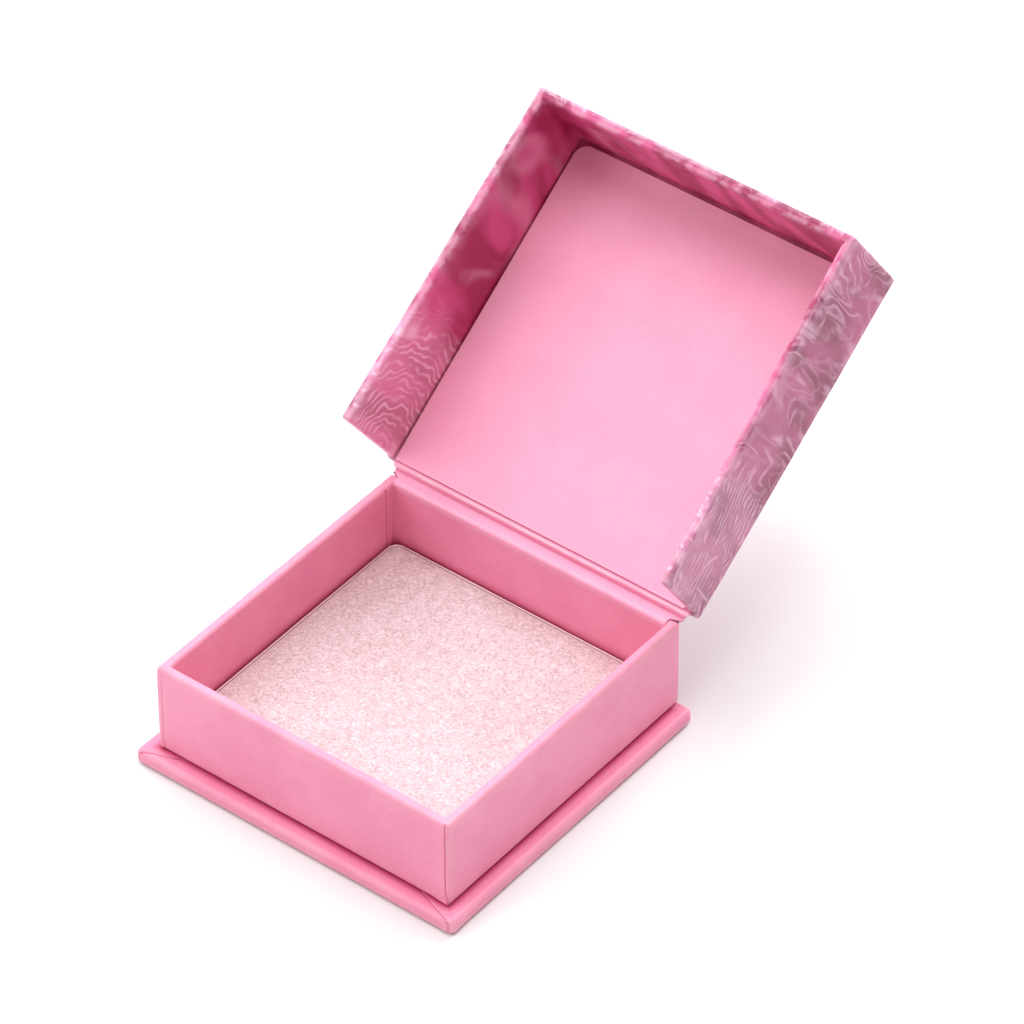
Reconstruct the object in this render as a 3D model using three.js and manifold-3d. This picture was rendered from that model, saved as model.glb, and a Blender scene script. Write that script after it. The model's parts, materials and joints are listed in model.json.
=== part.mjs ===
// A small square rigid paperboard box with a paper-hinged lid, standing open.
//
// A paper-wrapped base board carries a shallow tray, built of greyboard panels under pink paper, and a
// thin metal pan of pressed powder lies in the tray. The lid is a greyboard panel with three walls under
// patterned paper. It turns on a paper hinge along the top of the tray's rear wall.
//
// Millimetres, +Z up. The origin is at the middle of the tray, on the underside of the base. The front
// is towards -Y and the hinge is at +Y. The lid is designed shut, in a group whose origin is the hinge
// axis, and that group is then turned open.

import * as THREE from 'three';
import { mergeVertices } from 'three/addons/utils/BufferGeometryUtils.js';
import Module from 'manifold-3d';

const wasm = await Module();
wasm.setup();

// ---- Sheet materials ------------------------------------------------------------------------------
const PAPER = 0.2; // covering paper
const GLUE = 0.05; // glue line between two pieces
const STAY = 0.1; // kraft tape in the corners, between board and covering paper
const WALL_BOARD = 1.2; // greyboard of the tray and of the lid's walls
const BASE_BOARD = 2.5; // greyboard of the base
const LID_BOARD = 2.0; // greyboard of the lid's top panel
const LINER = 0.4; // pink card inside the lid
const STRIP = 0.15; // paper strip over the hinge

// ---- Driving dimensions ---------------------------------------------------------------------------
const TRAY_WIDTH = 62.0; // outside, along X
const TRAY_DEPTH = 62.4; // outside, along Y
const RIM_HEIGHT = 21.25; // the tray's rim above the ground
const OVERHANG = 2.9; // base board beyond the tray at the front and both sides
const REAR_OVERHANG = 0.25; // base board beyond the tray at the rear
const TURN_IN = 13.0; // covering paper folded over an edge on to the board's other face
const STAY_LEG = 10.0; // leg of a corner stay along each wall

const HINGE_BEHIND = 1.55; // hinge axis behind the tray's rear face
const HINGE_ABOVE = 1.4; // hinge axis above the tray's rim
const REST_OPENING = 144.4; // degrees that the lid stands open
const LID_PLAY = 0.35; // between the shut lid's side walls and the tray
const FRONT_PLAY = 0.4; // between the shut lid's front wall and the tray
const RIM_PLAY = 0.3; // between the shut lid's liner and the tray's rim
const FLOOR_PLAY = 0.2; // between the shut lid's rim and the base
const LID_REAR = 0.25; // the lid's panel behind the hinge axis
const WALL_END = -0.35; // free rear end of the lid's side walls, from the hinge axis
const SPLAY = { left: 1.0, right: 2.2 }; // how far the free rear ends spring outwards at the rim

const PAN_PLAY = 0.35; // between the pan and the tray's walls
const PAN_SHEET = 0.3; // the pan's metal
const PAN_TOP = 8.2; // the pan's rim above the ground
const PAN_CORNER = 2.0;
const CAKE_BELOW_RIM = 0.12; // the powder's face below the pan's rim

const EDGE = 0.4; // rounding of a paper-covered board edge
const CORNER = 0.5; // rounding of an upright paper-covered corner
const BASE_EDGE = 1.0; // rounding of the base's upper and lower edges
const BASE_CORNER = 1.2;
const LINER_CORNER = 2.5;
const SPRING_STEPS = [8, 4]; // facets along and down a wall that springs outwards

// ---- Worked out from them -------------------------------------------------------------------------
const WALL = PAPER + GLUE + STAY + GLUE + WALL_BOARD + GLUE + PAPER; // a covered wall
const BOARD_INSET = PAPER + GLUE + STAY + GLUE; // from a wall's outer face to its board
const BASE_TOP = PAPER + GLUE + BASE_BOARD + GLUE + PAPER;
const HALF_TRAY = new THREE.Vector2(TRAY_WIDTH / 2, TRAY_DEPTH / 2);
const TRAY_FOOT = BASE_TOP + GLUE; // underside of the tray's covering paper
const FLOOR_BOTTOM = TRAY_FOOT + PAPER + GLUE;
const FLOOR_TOP = FLOOR_BOTTOM + WALL_BOARD;
const LINING_TOP = FLOOR_TOP + GLUE + PAPER;
const PAN_FOOT = LINING_TOP + GLUE;

const HINGE_Y = HALF_TRAY.y + HINGE_BEHIND;
const HINGE_Z = RIM_HEIGHT + HINGE_ABOVE;
const LINER_FACE = RIM_PLAY - HINGE_ABOVE; // the liner's underside in the lid's own frame
const LID_WALL_TOP = LINER_FACE + LINER; // top of the wall boards, just under the panel
const LID_BOARD_FOOT = LID_WALL_TOP + GLUE;
const LID_TOP = LID_BOARD_FOOT + LID_BOARD + GLUE + PAPER;
const LID_RIM = BASE_TOP + FLOOR_PLAY - HINGE_Z;
const LID_INNER = HALF_TRAY.x + LID_PLAY; // inner faces of the side walls, from the middle
const LID_OUTER = LID_INNER + WALL;
const LID_FRONT_INNER = -(TRAY_DEPTH + HINGE_BEHIND + FRONT_PLAY);
const LID_FRONT_OUTER = LID_FRONT_INNER - WALL;

// ---- Helpers --------------------------------------------------------------------------------------

// Moves every point of a geometry to where the function puts it.
function movePoints(geometry, move) {
  const position = geometry.getAttribute('position');
  const point = new THREE.Vector3();
  for (let i = 0; i < position.count; i += 1) {
    position.setXYZ(i, ...move(point.fromBufferAttribute(position, i)));
  }
  return geometry;
}

// A box between two corners, with its faces cut into steps along Y and Z.
function block([x0, y0, z0], [x1, y1, z1], [stepsY, stepsZ] = [1, 1]) {
  const { lerp } = THREE.MathUtils;
  const unit = new THREE.BoxGeometry(1, 1, 1, 1, stepsY, stepsZ);
  return movePoints(unit, ({ x, y, z }) => [
    lerp(x0, x1, x + 0.5),
    lerp(y0, y1, y + 0.5),
    lerp(z0, z1, z + 0.5),
  ]);
}

// An upright rectangle's outline with round corners. A radius of 0 leaves a square corner.
function roundedOutline([x0, y0], [x1, y1], rearRadius, frontRadius = rearRadius) {
  const quarter = Math.PI / 2;
  const corners = [
    { x: x1, y: y0, toX: -1, toY: 1, radius: frontRadius, start: -quarter },
    { x: x1, y: y1, toX: -1, toY: -1, radius: rearRadius, start: 0 },
    { x: x0, y: y1, toX: 1, toY: -1, radius: rearRadius, start: quarter },
    { x: x0, y: y0, toX: 1, toY: 1, radius: frontRadius, start: 2 * quarter },
  ];
  const shape = new THREE.Shape();
  for (const { x, y, toX, toY, radius, start } of corners) {
    if (radius > 0) {
      shape.absarc(x + toX * radius, y + toY * radius, radius, start, start + quarter);
    } else if (shape.curves.length === 0 && shape.currentPoint.lengthSq() === 0) {
      shape.moveTo(x, y);
    } else {
      shape.lineTo(x, y);
    }
  }
  shape.closePath();
  return shape;
}

// A plate with round upright corners, and with rounded edges where edge is over 0.
function plate([x0, y0, z0], [x1, y1, z1], corner, edge = 0) {
  const outline = roundedOutline([x0 + edge, y0 + edge], [x1 - edge, y1 - edge], corner - edge);
  const geometry = new THREE.ExtrudeGeometry(outline, {
    depth: z1 - z0 - 2 * edge,
    curveSegments: 4,
    bevelEnabled: edge > 0,
    bevelThickness: edge,
    bevelSize: edge,
    bevelSegments: 2,
  });
  return geometry.translate(0, 0, z0 + edge);
}

// A closed geometry as a solid that can be joined and cut.
function toSolid(geometry) {
  const bare = geometry.clone();
  bare.deleteAttribute('normal');
  bare.deleteAttribute('uv');
  const merged = mergeVertices(bare, 1e-5);
  return new wasm.Manifold(new wasm.Mesh({
    numProp: 3,
    vertProperties: merged.getAttribute('position').array,
    triVerts: Uint32Array.from(merged.index.array),
  }));
}

function toGeometry(solid) {
  const mesh = solid.getMesh();
  const geometry = new THREE.BufferGeometry();
  geometry.setAttribute('position', new THREE.BufferAttribute(mesh.vertProperties, 3));
  geometry.setIndex(new THREE.BufferAttribute(mesh.triVerts, 1));
  return geometry;
}

// The first geometry less all the others.
function cut(geometry, ...tools) {
  return toGeometry(tools.reduce((solid, tool) => solid.subtract(toSolid(tool)), toSolid(geometry)));
}

function join(first, second) {
  return toGeometry(toSolid(first).add(toSolid(second)));
}

// A box of the lid's walls whose sides spring outwards: not at all at the front wall or along the panel,
// and most at the rear end of the rim.
function sprungBlock(low, high) {
  return movePoints(block(low, high, SPRING_STEPS), ({ x, y, z }) => {
    const towardsRear = Math.max(0, 1 - y / LID_FRONT_INNER);
    const towardsRim = (z - LID_WALL_TOP) / (LID_RIM - LID_WALL_TOP);
    const reach = x < 0 ? -SPLAY.left : SPLAY.right;
    return [x + reach * towardsRear * towardsRim, y, z];
  });
}

// An L-shaped stay round an upright corner at (x, y), whose legs run back along the signs given.
function cornerStay(x, y, towardX, towardY, z0, z1, makeBlock = block) {
  const leg = (dx, dy) => {
    const xs = [x, x + towardX * dx].sort((a, b) => a - b);
    const ys = [y, y + towardY * dy].sort((a, b) => a - b);
    return makeBlock([xs[0], ys[0], z0], [xs[1], ys[1], z1]);
  };
  return join(leg(STAY_LEG, STAY), leg(STAY, STAY_LEG));
}

function standard(color, roughness, metalness = 0) {
  return new THREE.MeshStandardMaterial({ color, roughness, metalness });
}

const looks = {
  pinkPaper: () => standard('#f3a2c1', 0.5),
  linerCard: () => standard('#f9b4d0', 0.5),
  patternedPaper: () => standard('#c9709f', 0.35),
  greyboard: () => standard('#a8a299', 0.9),
  kraft: () => standard('#c4a47a', 0.85),
  panMetal: () => standard('#d8d2d0', 0.35, 1),
  powder: () => standard('#f3d6dc', 0.55),
};

function piece(name, geometry, look) {
  const mesh = new THREE.Mesh(geometry, look());
  mesh.name = name;
  return mesh;
}

// ---- Base -----------------------------------------------------------------------------------------

// The slab's outline, taken in by inset on every face.
function baseSlab(inset) {
  const halfX = HALF_TRAY.x + OVERHANG - inset;
  const front = -(HALF_TRAY.y + OVERHANG) + inset;
  const rear = HALF_TRAY.y + REAR_OVERHANG - inset;
  return plate(
    [-halfX, front, inset],
    [halfX, rear, BASE_TOP - inset],
    BASE_CORNER - inset,
    BASE_EDGE - inset,
  );
}

function basePieces() {
  const open = HALF_TRAY.x + OVERHANG - TURN_IN;
  const window = block([-open, -open, BASE_TOP / 2], [open, open - OVERHANG, 2 * BASE_TOP]);
  return [
    piece('base_board', baseSlab(PAPER + GLUE), looks.greyboard),
    piece('base_wrap', cut(baseSlab(0), baseSlab(PAPER), window), looks.pinkPaper),
  ];
}

// ---- Tray -----------------------------------------------------------------------------------------

// The box between the tray's outer faces, taken in by inset on all four sides.
function trayBlock(inset, z0, z1) {
  const x = HALF_TRAY.x - inset;
  const y = HALF_TRAY.y - inset;
  return block([-x, -y, z0], [x, y, z1]);
}

function trayBoards() {
  const outer = HALF_TRAY.clone().subScalar(BOARD_INSET);
  const inner = outer.clone().subScalar(WALL_BOARD);
  const top = RIM_HEIGHT - PAPER - GLUE;
  const floorX = inner.x - GLUE;
  const floorY = inner.y - GLUE;
  const floor = block([-floorX, -floorY, FLOOR_BOTTOM], [floorX, floorY, FLOOR_TOP]);
  const pieces = [piece('tray_floor_board', floor, looks.greyboard)];
  for (const [name, side] of [['front', -1], ['rear', 1]]) {
    const ys = [side * outer.y, side * inner.y].sort((a, b) => a - b);
    const wall = block([-outer.x, ys[0], FLOOR_BOTTOM], [outer.x, ys[1], top]);
    pieces.push(piece(`tray_wall_${name}`, wall, looks.greyboard));
  }
  for (const [name, side] of [['left', -1], ['right', 1]]) {
    const xs = [side * outer.x, side * inner.x].sort((a, b) => a - b);
    const wall = block([xs[0], -floorY, FLOOR_BOTTOM], [xs[1], floorY, top]);
    pieces.push(piece(`tray_wall_${name}`, wall, looks.greyboard));
  }
  return pieces;
}

function trayStays() {
  const at = HALF_TRAY.clone().subScalar(PAPER + GLUE);
  const z0 = FLOOR_BOTTOM + 1;
  const z1 = RIM_HEIGHT - 1;
  const pieces = [];
  for (const [rank, sideY] of [['front', -1], ['rear', 1]]) {
    for (const [file, sideX] of [['left', -1], ['right', 1]]) {
      const stay = cornerStay(sideX * at.x, sideY * at.y, -sideX, -sideY, z0, z1);
      pieces.push(piece(`tray_stay_${rank}_${file}`, stay, looks.kraft));
    }
  }
  return pieces;
}

// One sheet over the walls: outside, over the rim, down the inside, and turned in under the floor.
function trayWrap() {
  const { x, y } = HALF_TRAY;
  const skin = plate([-x, -y, TRAY_FOOT], [x, y, RIM_HEIGHT], CORNER, EDGE);
  const boards = trayBlock(PAPER, TRAY_FOOT + PAPER, RIM_HEIGHT - PAPER);
  const insideSkin = trayBlock(WALL - PAPER, FLOOR_TOP + GLUE, RIM_HEIGHT);
  const hollow = trayBlock(WALL, FLOOR_TOP, RIM_HEIGHT + 1);
  const under = trayBlock(TURN_IN, 0, FLOOR_BOTTOM);
  return piece('tray_wrap', cut(skin, cut(boards, insideSkin), hollow, under), looks.pinkPaper);
}

function trayLining() {
  const lining = trayBlock(WALL + GLUE, FLOOR_TOP + GLUE, LINING_TOP);
  return piece('tray_bottom_paper', lining, looks.pinkPaper);
}

function panAndPowder() {
  const outer = HALF_TRAY.clone().subScalar(WALL + PAN_PLAY);
  const plateAt = (inset, z0, z1, edge = 0) => plate(
    [inset - outer.x, inset - outer.y, z0],
    [outer.x - inset, outer.y - inset, z1],
    PAN_CORNER - inset,
    edge,
  );
  const pan = cut(plateAt(0, PAN_FOOT, PAN_TOP), plateAt(PAN_SHEET, PAN_FOOT + PAN_SHEET, PAN_TOP + 1));
  const cake = plateAt(PAN_SHEET + GLUE, PAN_FOOT + PAN_SHEET + GLUE, PAN_TOP - CAKE_BELOW_RIM, EDGE);
  return [
    piece('powder_pan', pan, looks.panMetal),
    piece('pressed_powder', cake, looks.powder),
  ];
}

// ---- Paper hinge, the half that stays on the tray --------------------------------------------------

function hingePapers() {
  const stripX = HALF_TRAY.x - WALL;
  const stripZ = RIM_HEIGHT + GLUE;
  const strip = block(
    [-stripX, HALF_TRAY.y - WALL, stripZ],
    [stripX, HALF_TRAY.y - GLUE, stripZ + STRIP],
  );
  const coverY = HALF_TRAY.y + GLUE;
  const coverX = HALF_TRAY.x - CORNER;
  const cover = block(
    [-coverX, coverY, BASE_TOP + GLUE],
    [coverX, coverY + PAPER, RIM_HEIGHT - EDGE],
  );
  return [
    piece('hinge_strip', strip, looks.pinkPaper),
    piece('rear_cover_paper', cover, looks.patternedPaper),
  ];
}

// ---- Lid, shut, in the hinge axis's frame ----------------------------------------------------------

function lidBoards() {
  const panelX = LID_OUTER - PAPER - GLUE;
  const wallX = LID_OUTER - BOARD_INSET;
  const wallFront = LID_FRONT_OUTER + BOARD_INSET;
  const wallFoot = LID_RIM + PAPER + GLUE;
  const sideFront = wallFront + WALL_BOARD + GLUE;
  const sideRear = WALL_END - PAPER - GLUE;
  const panel = block(
    [-panelX, LID_FRONT_OUTER + PAPER + GLUE, LID_BOARD_FOOT],
    [panelX, LID_REAR - PAPER - GLUE, LID_BOARD_FOOT + LID_BOARD],
  );
  const front = block([-wallX, wallFront, wallFoot], [wallX, wallFront + WALL_BOARD, LID_WALL_TOP]);
  const pieces = [
    piece('lid_top_board', panel, looks.greyboard),
    piece('lid_wall_front', front, looks.greyboard),
  ];
  for (const [name, side] of [['left', -1], ['right', 1]]) {
    const xs = [side * wallX, side * (wallX - WALL_BOARD)].sort((a, b) => a - b);
    const wall = sprungBlock([xs[0], sideFront, wallFoot], [xs[1], sideRear, LID_WALL_TOP]);
    pieces.push(piece(`lid_wall_${name}`, wall, looks.greyboard));
  }
  return pieces;
}

function lidStays() {
  const x = LID_OUTER - PAPER - GLUE;
  const y = LID_FRONT_OUTER + PAPER + GLUE;
  const z0 = LID_RIM + 1;
  const z1 = LID_WALL_TOP - 1;
  return [['left', -1], ['right', 1]].map(([name, side]) => {
    const stay = cornerStay(side * x, y, -side, 1, z0, z1, sprungBlock);
    return piece(`lid_stay_${name}`, stay, looks.kraft);
  });
}

// One sheet over the lid: the panel, the three walls, over their rim and up their inner faces.
function lidWrap() {
  const behind = LID_REAR + 1;
  const below = LID_RIM - 1;
  const boardX = LID_OUTER - PAPER;
  const skinX = LID_INNER + PAPER;
  const skin = join(
    block([-LID_OUTER, LID_FRONT_OUTER, LID_WALL_TOP], [LID_OUTER, LID_REAR, LID_TOP]),
    sprungBlock([-LID_OUTER, LID_FRONT_OUTER, LID_RIM], [LID_OUTER, WALL_END, LID_WALL_TOP]),
  );
  const panelSpace = block(
    [-boardX, LID_FRONT_OUTER + PAPER, LID_WALL_TOP],
    [boardX, LID_REAR - PAPER, LID_TOP - PAPER],
  );
  const wallSpace = cut(
    sprungBlock(
      [-boardX, LID_FRONT_OUTER + PAPER, LID_RIM + PAPER],
      [boardX, WALL_END - PAPER, LID_WALL_TOP],
    ),
    sprungBlock([-skinX, LID_FRONT_INNER - PAPER, below], [skinX, behind, LID_WALL_TOP]),
  );
  const hollow = sprungBlock([-LID_INNER, LID_FRONT_INNER, below], [LID_INNER, behind, LID_WALL_TOP]);
  return piece('lid_wrap', cut(skin, join(panelSpace, wallSpace), hollow), looks.patternedPaper);
}

function lidLiner() {
  const halfX = LID_INNER - LID_PLAY;
  const outline = roundedOutline(
    [-halfX, LID_FRONT_INNER + 2 * LID_PLAY],
    [halfX, -GLUE],
    0,
    LINER_CORNER,
  );
  const card = new THREE.ExtrudeGeometry(outline, { depth: LINER, curveSegments: 4, bevelEnabled: false });
  return piece('lid_liner', card.translate(0, 0, LINER_FACE), looks.linerCard);
}

// ---- Assembly -------------------------------------------------------------------------------------

const base = new THREE.Group();
base.add(...basePieces());
base.add(...trayBoards());
base.add(...trayStays());
base.add(trayWrap(), trayLining());
base.add(...panAndPowder());
base.add(...hingePapers());

const lid = new THREE.Group();
lid.add(...lidBoards());
lid.add(...lidStays());
lid.add(lidWrap(), lidLiner());
lid.position.set(0, HINGE_Y, HINGE_Z);
lid.rotation.x = -THREE.MathUtils.degToRad(REST_OPENING);

const box = new THREE.Group();
box.add(base, lid);

export default box;
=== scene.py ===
"""The looks of a small square paperboard box with a paper-hinged lid, standing open.

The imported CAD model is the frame. Every covering paper, the liner card, the powder and its pan are
built here as detailed pieces in the places of their CAD nodes. The boards and corner stays inside the
papers keep their CAD shape and get a better material. Lengths are in millimetres until a mesh is made.
"""

import json
import math

import bmesh
import bpy
from mathutils import Matrix, Vector, noise


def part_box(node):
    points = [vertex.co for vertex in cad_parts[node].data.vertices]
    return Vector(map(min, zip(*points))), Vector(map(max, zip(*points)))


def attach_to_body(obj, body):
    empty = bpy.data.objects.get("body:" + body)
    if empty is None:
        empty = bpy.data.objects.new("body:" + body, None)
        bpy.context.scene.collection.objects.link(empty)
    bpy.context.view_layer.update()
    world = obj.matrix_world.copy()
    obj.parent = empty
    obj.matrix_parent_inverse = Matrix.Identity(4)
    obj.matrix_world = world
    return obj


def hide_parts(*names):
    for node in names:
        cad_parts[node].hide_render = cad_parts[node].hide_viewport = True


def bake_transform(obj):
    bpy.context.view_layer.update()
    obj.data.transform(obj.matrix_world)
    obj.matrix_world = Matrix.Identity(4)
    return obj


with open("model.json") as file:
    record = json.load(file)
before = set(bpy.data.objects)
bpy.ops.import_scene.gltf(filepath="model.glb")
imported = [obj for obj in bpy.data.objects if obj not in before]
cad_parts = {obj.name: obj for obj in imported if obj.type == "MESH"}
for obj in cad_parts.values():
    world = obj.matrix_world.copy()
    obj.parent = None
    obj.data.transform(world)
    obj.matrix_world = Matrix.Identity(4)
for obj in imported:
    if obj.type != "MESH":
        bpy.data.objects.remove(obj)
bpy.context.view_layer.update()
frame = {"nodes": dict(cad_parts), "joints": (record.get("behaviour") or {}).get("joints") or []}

# ---- Sizes in millimetres ---------------------------------------------------------------------------
MM = 0.001
PAPER = 0.2
WALL = 1.85  # a board wall with its covering paper on both sides
STRIP = 0.15  # the pink paper over the hinge
TURN_IN = 13.0  # covering paper folded on to a board's other face
LIP_ROUNDING = 0.72
CORNER_ROUNDING = 0.5
FOOT_ROUNDING = 0.75
BASE_ROUNDING = 1.0
BASE_CORNER = 1.2
SMALLEST_CORNER = 0.25  # inner corners keep at least this radius
CORNER_STEPS = 6
LAP_STEP = 0.2  # how far a lapping paper edge stands proud on the tray
FOLD_STEP = 0.12  # and on the base, under the shut lid's rim
LAP_GROOVE = 0.12  # depth of the thin shadow line along it
SPRING = {"left": 1.0, "right": 2.2}  # how far the lid's free wall ends lean outwards, as in the CAD

HINGE = frame["joints"][0]
HINGE_POINT = Vector(HINGE["pos_m"]) / MM
OPENING = -HINGE["range_deg"][0]
LID_TO_WORLD = Matrix.Translation(HINGE_POINT) @ Matrix.Rotation(math.radians(-OPENING), 4, "X")


def node_box(node):
    """A CAD node's lowest and highest corners in millimetres."""
    low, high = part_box(node)
    return low / MM, high / MM


def lid_box(node):
    """A CAD node's box in the lid's own frame, where the lid lies shut and the hinge axis is the origin."""
    to_lid = LID_TO_WORLD.inverted()
    points = [to_lid @ (v.co / MM) for v in frame["nodes"][node].data.vertices]
    low = Vector([min(p[i] for p in points) for i in range(3)])
    high = Vector([max(p[i] for p in points) for i in range(3)])
    return low, high


# ---- Mesh helpers -----------------------------------------------------------------------------------


def outline(low, high, inset, corners, columns):
    """Points round an upright rectangle with round corners, anticlockwise from above.

    corners holds the four radii: front right, rear right, rear left and front left. columns holds, for
    the right, rear, left and front sides, where along the side its points are, from 0 to 1.
    """
    points = []
    arcs = []
    signs = ((1, -1), (1, 1), (-1, 1), (-1, -1))
    for (toward_x, toward_y), corner in zip(signs, corners):
        radius = max(corner - inset, SMALLEST_CORNER)
        middle_x = (high.x if toward_x > 0 else low.x) - toward_x * (inset + radius)
        middle_y = (high.y if toward_y > 0 else low.y) - toward_y * (inset + radius)
        arcs.append((middle_x, middle_y, radius))
    for side, (middle_x, middle_y, radius) in enumerate(arcs):
        for step in range(CORNER_STEPS + 1):
            angle = math.radians(90 * (side - 1 + step / CORNER_STEPS))
            points.append((middle_x + radius * math.cos(angle), middle_y + radius * math.sin(angle)))
        next_x, next_y, next_radius = arcs[(side + 1) % 4]
        angle = math.radians(90 * side)
        start = points[-1]
        end = (next_x + next_radius * math.cos(angle), next_y + next_radius * math.sin(angle))
        for share in columns[side]:
            points.append(
                (start[0] + (end[0] - start[0]) * share, start[1] + (end[1] - start[1]) * share)
            )
    return points


def even_columns(count):
    """Evenly spaced shares along a side, without its ends."""
    return [(k + 1) / (count + 1) for k in range(count)]


def columns_with_laps(length, laps, spacing=1.6):
    """Shares along a side of that length, evenly spaced, with columns close together at each lap."""
    close = (-0.4, -0.16, -0.09, -0.03, 0.03, 0.1, 0.4)
    distances = {round(lap + d, 4) for lap in laps for d in close if 0.01 < lap + d < length - 0.01}
    count = int(length / spacing)
    for k in range(1, count):
        distance = length * k / count
        if all(abs(distance - lap) > 0.6 for lap in laps):
            distances.add(distance)
    return [d / length for d in sorted(distances)]


def stack(name, low, high, corners, rings, columns, closed=False):
    """A mesh through a stack of outlines, each given as (inset, height).

    It is a closed tube when closed is true; otherwise its first and last outlines are filled in.
    """
    points = []
    for inset, height in rings:
        points += [(x, y, height) for x, y in outline(low, high, inset, corners, columns)]
    around = len(points) // len(rings)
    faces = []
    for r in range(len(rings) if closed else len(rings) - 1):
        lower = r * around
        upper = (r + 1) % len(rings) * around
        for k in range(around):
            k_next = (k + 1) % around
            faces.append((lower + k, lower + k_next, upper + k_next, upper + k))
    if not closed:
        faces.append(tuple(reversed(range(around))))
        faces.append(tuple(range(len(points) - around, len(points))))
    return build(name, points, faces)


def build(name, points, faces):
    """A mesh object from points in millimetres, which finish_mesh later puts into metres."""
    mesh = bpy.data.meshes.new(name)
    mesh.from_pydata([tuple(p) for p in points], [], faces)
    mesh.validate()
    mesh.update()
    piece = bpy.data.objects.new(name, mesh)
    bpy.context.scene.collection.objects.link(piece)
    return piece


def arc(inset, height, radius, start, end, steps=5):
    """Rings of a rounded edge, round a centre given as (inset, height). 0 degrees points inwards."""
    rings = []
    for k in range(steps + 1):
        angle = math.radians(start + (end - start) * k / steps)
        rings.append((inset + radius * math.cos(angle), height + radius * math.sin(angle)))
    return rings


def between(first, last, spacing):
    """Rings strictly between two rings."""
    length = math.dist(first, last)
    count = max(1, round(length / spacing))
    return [
        tuple(a + (b - a) * k / count for a, b in zip(first, last)) for k in range(1, count)
    ]


def joined(*parts, spacing=2.5):
    """Lists of rings in a row, with more rings over each flat between them."""
    rings = list(parts[0])
    for part in parts[1:]:
        rings += between(rings[-1], part[0], spacing)
        rings += part
    return rings


def displace(piece, height):
    """Moves each point along its normal by height(point), in millimetres."""
    mesh = piece.data
    moved = [v.co + v.normal * height(v.co) for v in mesh.vertices]
    for vertex, place in zip(mesh.vertices, moved):
        vertex.co = place
    mesh.update()


def hand_made(size, depth, seed):
    """A slow unevenness, as of paper glued to board by hand."""
    offset = Vector((seed * 17.3, seed * 5.1, seed * 11.9))

    def height(point):
        return depth * noise.noise((point + offset) / size)

    return height


def smooth_step(low, high, value):
    """0 up to low, 1 from high on, and a smooth rise between them."""
    share = min(1.0, max(0.0, (value - low) / (high - low)))
    return share * share * (3 - 2 * share)


def lap(past, ease, width=0.03, step=LAP_STEP):
    """The height of a lapping sheet's edge, at a distance past the edge. It sinks back over the ease."""
    raised = smooth_step(-width, width, past) * (1 - smooth_step(0.3, ease, past))
    return step * raised - LAP_GROOVE * groove(past, width)


def groove(past, width=0.03):
    """How deep in the shadow line along a lap's edge a point lies, from 0 to 1."""
    return max(0.0, 1 - abs(past + 3 * width) / (3 * width))


def store(piece, name, value_at):
    """Stores value_at(point) at each point of the mesh, for its material."""
    values = [value_at(vertex.co) for vertex in piece.data.vertices]
    piece.data.attributes.new(name, "FLOAT", "POINT").data.foreach_set("value", values)


def store_print(piece):
    """Stores each point's own place in millimetres, so that a printed pattern keeps to the sheet's frame."""
    flat = [number for vertex in piece.data.vertices for number in vertex.co]
    piece.data.attributes.new("print", "FLOAT_VECTOR", "POINT").data.foreach_set("vector", flat)


def mark_edges(piece):
    """Stores how convex the surface is at each point, for the wear and painted highlight along edges."""
    if "edge" in piece.data.attributes:
        return
    shape = bmesh.new()
    shape.from_mesh(piece.data)
    full = math.radians(14)
    values = []
    for vertex in shape.verts:
        angles = [e.calc_face_angle_signed(0.0) for e in vertex.link_edges if len(e.link_faces) == 2]
        strongest = max(angles, key=abs) if angles else 0.0
        values.append(min(1.0, max(0.0, strongest / full)))
    shape.free()
    attribute = piece.data.attributes.new("edge", "FLOAT", "POINT")
    attribute.data.foreach_set("value", values)


def finish_mesh(piece, material, place=Matrix.Identity(4), sharp=40, weighted=True):
    """Puts the mesh in its place in metres, and sets its shading and material."""
    mark_edges(piece)
    piece.data.transform(Matrix.Scale(MM, 4) @ place)
    piece.data.shade_smooth()
    piece.data.set_sharp_from_angle(angle=math.radians(sharp))
    piece.data.materials.append(material)
    if weighted:
        modifier = piece.modifiers.new("even_normals", "WEIGHTED_NORMAL")
        modifier.keep_sharp = True


def stand_for(piece, body, node):
    """Puts a rigid piece on its body, in place of a CAD node."""
    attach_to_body(piece, body)
    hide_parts(node)


# ---- Materials --------------------------------------------------------------------------------------


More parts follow.
